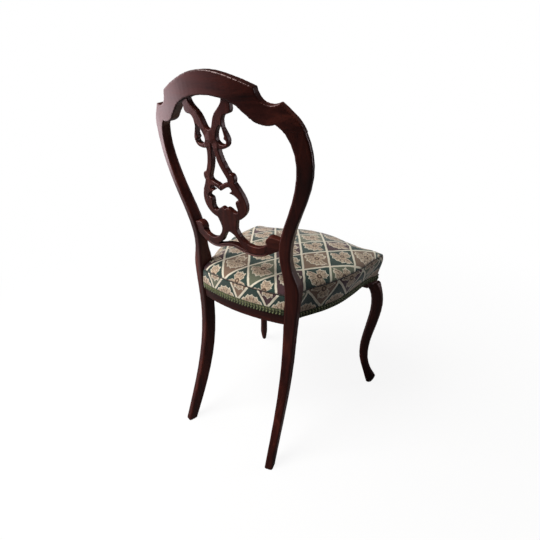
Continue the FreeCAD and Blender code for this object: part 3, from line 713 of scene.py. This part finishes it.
def seat_mesh():
    """The stuffed seat as one closed mesh, with its cloth coordinates."""
    bottom = SIDE_BOTTOM + (REAR_BOTTOM - SIDE_BOTTOM) * REAR
    shares = np.linspace(0, 1, 19)
    outer = [wall(bottom + (SEAM - 1.2 - bottom) * share, FABRIC_OUT) for share in shares]
    for row in outer:
        push = lumps(row, 0.5, 26, 1.7)
        row[:, :2] += outward(row[:, :2]) * push[:, None]
    outer[-1][:, :2] += outward(outer[-1][:, :2]) * -0.6
    fold = dome_row(3.4)
    fold[:, 2] = SEAM + 0.4
    top = [dome_row(inset) for inset in shoulders()]
    for number, row in enumerate(top):
        fade = min(1, number / 8)
        row[:, 2] += lumps(row, 1.1 * fade, 48, 5.2) + lumps(row, 0.5 * fade, 17, 9.4)
    lip = dome_row(1.9)
    lip[:, 2] = SEAM + 2.0
    under = wall(UNDERSIDE, FABRIC_OUT - CLOTH)
    drop = UNDERSIDE - 1 - bottom
    inner = [wall(bottom + drop * share, FABRIC_OUT - CLOTH) for share in (1, 0.66, 0.33, 0)]
    scales = (0.06, 0.35, 0.65, 0.9)
    floor = [under * (scale, scale, 1) + (0, SEAT_MIDDLE * (1 - scale), 0) for scale in scales]
    rows = floor + [under] + inner + outer + [fold, lip] + top
    mesh = from_grid("seat_cushion", [(row + (0, SHIFT_Y, 0)) * MM for row in rows[::-1]])
    last = (len(rows) - 1) * COLUMNS
    work = bmesh.new()
    work.from_mesh(mesh)
    work.verts.ensure_lookup_table()
    work.faces.new([work.verts[j] for j in range(COLUMNS)][::-1])
    work.faces.new([work.verts[last + j] for j in range(COLUMNS)])
    work.faces.ensure_lookup_table()
    paint_cloth(work, rows[::-1], len(top) + 1)
    bmesh.ops.recalc_face_normals(work, faces=work.faces)
    work.to_mesh(mesh)
    work.free()
    return mesh


def top_coordinates(rows):
    """Cloth coordinates of the top panel: flat in the middle, then measured along the cloth."""
    flat = rows[0][:, :2] - TOP_CROSSING
    result = [flat]
    for inner, outer in zip(rows, rows[1:]):
        step = outer - inner
        plan = np.linalg.norm(step[:, :2], axis=1)
        length = np.linalg.norm(step, axis=1)
        # The cloth stretches a little over the shoulder, so only part of the extra length counts
        stretch = (plan + (length - plan) * SLOPE_SHARE) / np.maximum(plan, 0.01)
        result.append(result[-1] + step[:, :2] * stretch[:, None])
    return result


# Crossing of the trellis that lies at the first apex of each border strip, which sets its colours
APEX_CELL = (1.5 * DIAMOND_WIDE, 0.5 * DIAMOND_LONG)
REAR_APEX = -4.0
STILE_TRAVEL = 160.0
SIDE_APEX = 236.0
SIDE_REPEAT = 89.0
REAR_APEX_LEVEL = 393.0
SIDE_APEX_LEVEL = 371.0


def border_coordinates(column, level):
    """Cloth coordinates on the border: one strip across the rear and one round the rest."""
    place = column / COLUMNS * PERIMETER
    if place < STILE_TRAVEL or place > PERIMETER - STILE_TRAVEL:
        signed = place if place < PERIMETER / 2 else place - PERIMETER
        return APEX_CELL[0] + REAR_APEX - signed, APEX_CELL[1] + level - REAR_APEX_LEVEL
    from_right = (PERIMETER - place - SIDE_APEX) * DIAMOND_WIDE / SIDE_REPEAT
    return APEX_CELL[0] + from_right, APEX_CELL[1] + level - SIDE_APEX_LEVEL


def paint_cloth(work, rows, top_rows):
    """Give every face its cloth coordinates: the first rows are the top, the rest the border."""
    layer = work.loops.layers.uv.new("cloth")
    on_top = top_coordinates(rows[:top_rows])
    for face in work.faces:
        spots = [divmod(loop.vert.index, COLUMNS) for loop in face.loops]
        lowest = max(row for row, column in spots)
        for loop, (row, column) in zip(face.loops, spots):
            if lowest < top_rows:
                place = on_top[row][column]
            else:
                place = border_coordinates(column, rows[row][column][2])
            loop[layer].uv = (place[0] * MM, place[1] * MM)


# Room between the stiles and the cloth, in metres
STILE_ROOM = 0.0008


def cut_round_stiles(mesh):
    """Take the stiles' room out of the seat, as the cloth is tucked in round them."""
    holder = bpy.data.objects.new("seat_holder", mesh)
    bpy.context.scene.collection.objects.link(holder)
    cutters = []
    for node in ("stile_left", "stile_right"):
        cutter = bpy.data.objects.new("cutter", welded(node, STILE_ROOM))
        bpy.context.scene.collection.objects.link(cutter)
        cutters.append(cutter)
        modifier = holder.modifiers.new("cut", "BOOLEAN")
        modifier.operation = "DIFFERENCE"
        modifier.solver = "EXACT"
        modifier.object = cutter
    graph = bpy.context.evaluated_depsgraph_get()
    result = bpy.data.meshes.new_from_object(holder.evaluated_get(graph))
    for thing in [holder, *cutters]:
        bpy.data.objects.remove(thing)
    return result


cushion_mesh = smooth(cut_round_stiles(seat_mesh()), 55)
covers = ("stuffing_pad", "cover_top", "cover_border_front", "cover_border_rear")
cushion = add_piece("seat_cushion", cushion_mesh, TAPESTRY, "tapestry", *covers)

# Gimp: a flat band with two thin cords along it and two rows of short leaning cords across it; the band and
# the thin cords take darker copies of the braid's colour, painted shade where they lie under the short
# cords

GIMP_WIDE = 15.0
GIMP_STEP = 0.85
# Material slots of the gimp's band and thin cords, which hold the painted-shade copies of the braid
BAND_LIFTS = (0.25, 0.95)
SHADED_BAND_TONE = 1
SHADED_CORD_TONE = 2
# (share of the band's width, height off the cloth, radius)
LONG_CORDS = [(0.48, 0.9, 0.8), (0.92, 1.0, 0.9)]
SHORT_PITCH = 8.2
SHORT_RADIUS = 1.9
SHORT_LIFT = 1.4
# (share of the band's width at the foot, at the head, lean)
SHORT_ROWS = [(0.08, 0.38, -0.9), (0.60, 0.88, 2.0)]
CORD_SIDES = 6


def cord_mesh(work, layer, path, normals, radius, tone=0):
    """Add a round cord along the path to the mesh in work."""
    rings = []
    lengths = [0.0]
    for i, point in enumerate(path):
        ahead = path[min(i + 1, len(path) - 1)] - path[max(i - 1, 0)]
        ahead = ahead / np.linalg.norm(ahead)
        out = normals[i] - ahead * np.dot(normals[i], ahead)
        out /= np.linalg.norm(out)
        side = np.cross(ahead, out)
        turns = np.linspace(0, math.tau, CORD_SIDES, endpoint=False)
        ring = [point + (out * math.cos(turn) + side * math.sin(turn)) * radius for turn in turns]
        rings.append([work.verts.new(corner * MM) for corner in ring])
        if i:
            lengths.append(lengths[-1] + float(np.linalg.norm(point - path[i - 1])))
    for i in range(len(rings) - 1):
        for j in range(CORD_SIDES):
            k = (j + 1) % CORD_SIDES
            face = work.faces.new((rings[i][j], rings[i][k], rings[i + 1][k], rings[i + 1][j]))
            face.material_index = tone
            around_cord = [j, j + 1, j + 1, j]
            along_cord = [lengths[i], lengths[i], lengths[i + 1], lengths[i + 1]]
            for loop, turn, length in zip(face.loops, around_cord, along_cord):
                loop[layer].uv = (length * MM, turn / CORD_SIDES * math.tau * radius * MM)
    work.faces.new(rings[0][::-1])
    work.faces.new(rings[-1])


def braid(columns, middle):
    """Gimp along these columns of the seat outline, its middle at this level."""

    def edge(rise):
        return wall(middle + rise, FABRIC_OUT)[columns] + (0, SHIFT_Y, 0)

    foot_row, middle_row, head_row = edge(-GIMP_WIDE / 2), edge(0.0), edge(GIMP_WIDE / 2)
    across = outward(around(wall(middle, FABRIC_OUT)[:, :2], 2))[columns]
    normals = np.column_stack([across, np.zeros(len(across))])
    steps = np.linalg.norm(np.diff(middle_row, axis=0), axis=1)
    travelled = np.concatenate([[0], np.cumsum(steps)])
    fine = np.arange(0, travelled[-1], GIMP_STEP)

    def along(spots):
        """The band's foot, its head and the way out of the cloth, at these distances along it."""
        lines = (foot_row, head_row, normals)
        return [np.stack([np.interp(spots, travelled, line[:, k]) for k in range(3)], 1) for line in lines]

    low, high, out = along(fine)
    out /= np.linalg.norm(out, axis=1)[:, None]
    work = bmesh.new()
    layer = work.loops.layers.uv.new("cloth")

    def at(share, lift):
        """Path at a share of the band's width, 0 at its foot, and a height off the cloth."""
        return low + (high - low) * share + out * lift

    under, over = BAND_LIFTS
    band = [at(0.0, under), at(1.0, under), at(1.0, over), at(0.0, over)]
    corners = [[work.verts.new(point * MM) for point in row] for row in band]
    for i in range(len(fine) - 1):
        for j in range(4):
            k = (j + 1) % 4
            face = work.faces.new((corners[j][i], corners[k][i], corners[k][i + 1], corners[j][i + 1]))
            # Painted shade: the band takes the darkest copy of the braid
            face.material_index = SHADED_BAND_TONE
            ends = [(i, j), (i, j + 1), (i + 1, j + 1), (i + 1, j)]
            for loop, (step, side) in zip(face.loops, ends):
                loop[layer].uv = (fine[step] * MM, side * GIMP_WIDE * MM)
    work.faces.new([row[0] for row in corners])
    work.faces.new([row[-1] for row in corners][::-1])
    for share, lift, radius in LONG_CORDS:
        # Painted shade: the thin cords take a darker copy of the braid
        cord_mesh(work, layer, at(share, lift), out, radius, SHADED_CORD_TONE)
    for place in np.arange(SHORT_PITCH, travelled[-1] - SHORT_PITCH, SHORT_PITCH):
        for foot, head, lean in SHORT_ROWS:
            below, above, facing = along(place + lean * np.linspace(-1, 1, 5))
            share = np.linspace(foot, head, 5)[:, None]
            path = below + (above - below) * share + facing * SHORT_LIFT
            cord_mesh(work, layer, path, facing, SHORT_RADIUS)
    bmesh.ops.recalc_face_normals(work, faces=work.faces)
    mesh = bpy.data.meshes.new("gimp")
    work.to_mesh(mesh)
    work.free()
    return smooth(mesh, 50)


# Distances from the rear centre at which the rear trimming ends and the side trimming starts
REAR_END = 127
SIDE_START = 167
REAR_GIMP_LEVEL = 389.0
SIDE_GIMP_LEVEL = 363.5
column_step = PERIMETER / COLUMNS
rear_reach = int(REAR_END / column_step)
rear_columns = np.arange(-rear_reach, rear_reach + 1) % COLUMNS
first_side = int(SIDE_START / column_step)
front_columns = np.arange(first_side, COLUMNS - first_side + 1)
bands = [("gimp_rear", rear_columns, REAR_GIMP_LEVEL), ("gimp_front", front_columns, SIDE_GIMP_LEVEL)]
for name, columns, middle in bands:
    piece = add_piece(name + "_braid", braid(columns, middle), BRAID, "gimp", name)
    # The band and the thin cords take the darker copies of the braid: painted shade
    piece.data.materials.append(BRAID_SHADED_BAND)
    piece.data.materials.append(BRAID_SHADED_CORDS)


# Place in from the seam, rise and radius of the dark seam cord, in millimetres; the cord is painted shade
# for the fold's shadow
SEAM_SHADE_CORD_IN = 1.5
SEAM_SHADE_CORD_RISE = 0.7
SEAM_SHADE_CORD_RADIUS = 1.1


def seam_line(columns):
    """A dark cord along the seam between the top and the border, painted shade for the shadow of the top's
    fold.
    """
    rows = (dome_row(SEAM_SHADE_CORD_IN) * (1, 1, 0) + (0, SHIFT_Y, SEAM + SEAM_SHADE_CORD_RISE))[columns]
    across = outward(wall(SEAM, FABRIC_OUT)[:, :2])[columns]
    work = bmesh.new()
    layer = work.loops.layers.uv.new("cloth")
    cord_mesh(work, layer, rows, np.column_stack([across, np.zeros(len(rows))]), SEAM_SHADE_CORD_RADIUS)
    bmesh.ops.recalc_face_normals(work, faces=work.faces)
    mesh = bpy.data.meshes.new("seam_line")
    work.to_mesh(mesh)
    work.free()
    return smooth(mesh)


# Painted shade: a dark cord along the seam, where the top's fold casts its shadow
add_piece("seam_shade_cord_rear", seam_line(rear_columns), SEAM_SHADE_CORD, "tapestry")
add_piece("seam_shade_cord_front", seam_line(front_columns), SEAM_SHADE_CORD, "tapestry")

# Hidden cloths: hessian over the webbing, and the dust cover under the rails

DUST_LEVEL = 354.4
DUST_SAG = 2.0
DUST_MARGIN = 6
DUST_POSTS = -112
HESSIAN_LEVEL = 404.2
HESSIAN_MARGIN = 2
NO_POSTS = -400
STILE_INNER = 124
STILE_FROM = 136
POST_INNER = 166
CLOTH_RINGS = (0.02, 0.2, 0.4, 0.6, 0.78, 0.9, 0.97, 1.0)
# Unevenness of the webbing, in metres
STRAP_WAVE = 0.00012


def flat_cloth(name, loop, level, sag, material, slot, node):
    """Thin cloth inside the loop, sagging a little between its edges."""
    rows = []
    for share in CLOTH_RINGS:
        plan = loop * share + (0, SEAT_MIDDLE * (1 - share))
        row = np.column_stack([plan, np.full(len(loop), float(level))])
        row[:, 2] -= sag * (1 - share**2) + lumps(row, 0.25 * sag, 60, 3.3) * (1 - share)
        rows.append((row + (0, SHIFT_Y, 0)) * MM)
    mesh = from_grid(name, rows)
    work = bmesh.new()
    work.from_mesh(mesh)
    work.verts.ensure_lookup_table()
    work.faces.new([work.verts[j] for j in range(len(loop))])
    bmesh.ops.recalc_face_normals(work, faces=work.faces)
    work.to_mesh(mesh)
    work.free()
    piece = add_piece(name, smooth(mesh), material, slot, node)


def notched(loop, posts_from):
    """The loop kept clear of the stiles, and of the front posts in front of posts_from."""
    result = []
    for x, y in loop:
        if y > STILE_FROM and abs(x) > STILE_INNER:
            x = math.copysign(STILE_INNER, x)
        if y < posts_from and abs(x) > POST_INNER:
            x = math.copysign(POST_INNER, x)
        result.append((x, y))
    return np.array(result)


dust_loop = notched(rail_loop - outward(rail_loop) * DUST_MARGIN, DUST_POSTS)
flat_cloth("dust_cover_cloth", dust_loop, DUST_LEVEL, DUST_SAG, CAMBRIC, "dust_cloth", "dust_cover")
hessian_loop = notched(rail_loop - outward(rail_loop) * HESSIAN_MARGIN, NO_POSTS)
flat_cloth("hessian_cloth", hessian_loop, HESSIAN_LEVEL, 0.0, HESSIAN, "hessian", "hessian")


def straps(name, node):
    """The webbing cut finer, shaded smooth with its sharp edges kept, and its surface made slightly uneven.
    """
    mesh = applied(welded(node), ("SUBSURF", {"levels": 2, "subdivision_type": "SIMPLE"}))
    for vert in mesh.vertices:
        vert.co.z += noise.noise(vert.co * 60) * STRAP_WAVE
    add_piece(name, smooth(mesh, 40), WEBBING, "webbing", node)


straps("webbing_straps_long", "webbing_front_to_back")
straps("webbing_straps_cross", "webbing_side_to_side")

# Floor, world, lamps and camera

FLOOR_SIZE = 8.0
FLOOR_GLOW = 0.9
FLOOR_BOUNCE = (0.16, 0.15, 0.15)
FLOOR_SEEN = (0.8, 0.8, 0.8)
SKY_LIGHT = 0.035


def pale_ground():
    """White to the camera, with the chair's own shadow left faintly round its feet."""
    shader = Shader("pale_floor")
    shader.nodes.remove(shader.surface)
    seen = shader.add("ShaderNodeLightPath").outputs["Is Camera Ray"]
    tone = shader.mix(seen, FLOOR_BOUNCE, FLOOR_SEEN)
    paper = shader.add("ShaderNodeBsdfDiffuse", {"Color": tone}).outputs[0]
    glow = shader.add("ShaderNodeEmission", {"Strength": 1.0}).outputs[0]
    away = shader.add("ShaderNodeVectorMath", {0: shader.place()}, operation="LENGTH").outputs["Value"]
    share = shader.span(away, 0.5, 1.6, FLOOR_GLOW, 1.0)
    mix = shader.add("ShaderNodeMixShader", {0: shader.calc("MULTIPLY", share, seen), 1: paper, 2: glow})
    output = shader.nodes["Material Output"]
    shader.links.new(mix.outputs[0], output.inputs["Surface"])
    return shader.material


floor_mesh = bpy.data.meshes.new("floor")
floor_corners = [(x * FLOOR_SIZE, y * FLOOR_SIZE, 0) for x, y in ((-1, -1), (1, -1), (1, 1), (-1, 1))]
floor_mesh.from_pydata(floor_corners, [], [(0, 1, 2, 3)])
floor = bpy.data.objects.new("floor", floor_mesh)
floor.data.materials.append(pale_ground())
bpy.context.scene.collection.objects.link(floor)


def studio_world():
    """White where the camera looks straight at it or through glass, and a weak light elsewhere."""
    world = bpy.data.worlds.new("studio")
    world.use_nodes = True
    bpy.context.scene.world = world
    nodes = world.node_tree.nodes
    links = world.node_tree.links
    background = nodes["Background"]
    background.inputs["Color"].default_value = (1, 1, 1, 1)
    rays = nodes.new("ShaderNodeLightPath")
    seen = nodes.new("ShaderNodeMath")
    seen.operation = "MAXIMUM"
    strength = nodes.new("ShaderNodeMapRange")
    strength.inputs["To Min"].default_value = SKY_LIGHT
    strength.inputs["To Max"].default_value = 1.0
    links.new(rays.outputs["Is Camera Ray"], seen.inputs[0])
    links.new(rays.outputs["Is Transmission Ray"], seen.inputs[1])
    links.new(seen.outputs[0], strength.inputs["Value"])
    links.new(strength.outputs[0], background.inputs["Strength"])



def lamp(name, place, target, size, power, colour):
    """A soft rectangular lamp at this place, turned to its target."""
    data = bpy.data.lights.new(name, "AREA")
    data.shape = "RECTANGLE"
    data.size, data.size_y = size
    data.energy = power
    data.color = colour
    thing = bpy.data.objects.new(name, data)
    thing.location = place
    thing.rotation_euler = (Vector(target) - Vector(place)).to_track_quat("-Z", "Y").to_euler()
    bpy.context.scene.collection.objects.link(thing)


studio_world()
lamp("window", (2.4, 0.35, 0.75), (0, 0.1, 0.55), (2.0, 2.2), 42.0, (1.0, 0.83, 0.88))
lamp("window_edge", (1.9, 1.6, 0.95), (0, 0.1, 0.6), (1.6, 1.6), 9.0, (1.0, 0.60, 0.62))
lamp("overhead", (0.8, 1.1, 2.5), (0, 0, 0.4), (1.4, 1.6), 96.0, (1.0, 1.0, 0.97))
lamp("far_window", (-1.9, -2.0, 0.9), (0, 0, 0.5), (1.2, 1.8), 22.0, (0.94, 0.94, 1.0))

CAMERA_PLACE = (-0.5802, 0.7589, 0.8623)
CAMERA_ANGLES = (64.494, 2.062, -142.934)
FOCAL_PIXELS = 404.2
IMAGE_PIXELS = 540.0
SHIFT_PIXELS = (0.3, 0.5)
SENSOR = 36.0
data = bpy.data.cameras.new("camera")
data.sensor_width = SENSOR
data.lens = FOCAL_PIXELS / IMAGE_PIXELS * SENSOR
data.shift_x = SHIFT_PIXELS[0] / IMAGE_PIXELS
data.shift_y = SHIFT_PIXELS[1] / IMAGE_PIXELS
camera = bpy.data.objects.new("camera", data)
camera.location = CAMERA_PLACE
camera.rotation_euler = [math.radians(angle) for angle in CAMERA_ANGLES]
bpy.context.scene.collection.objects.link(camera)
bpy.context.scene.camera = camera
bpy.context.scene.view_settings.view_transform = "Standard"
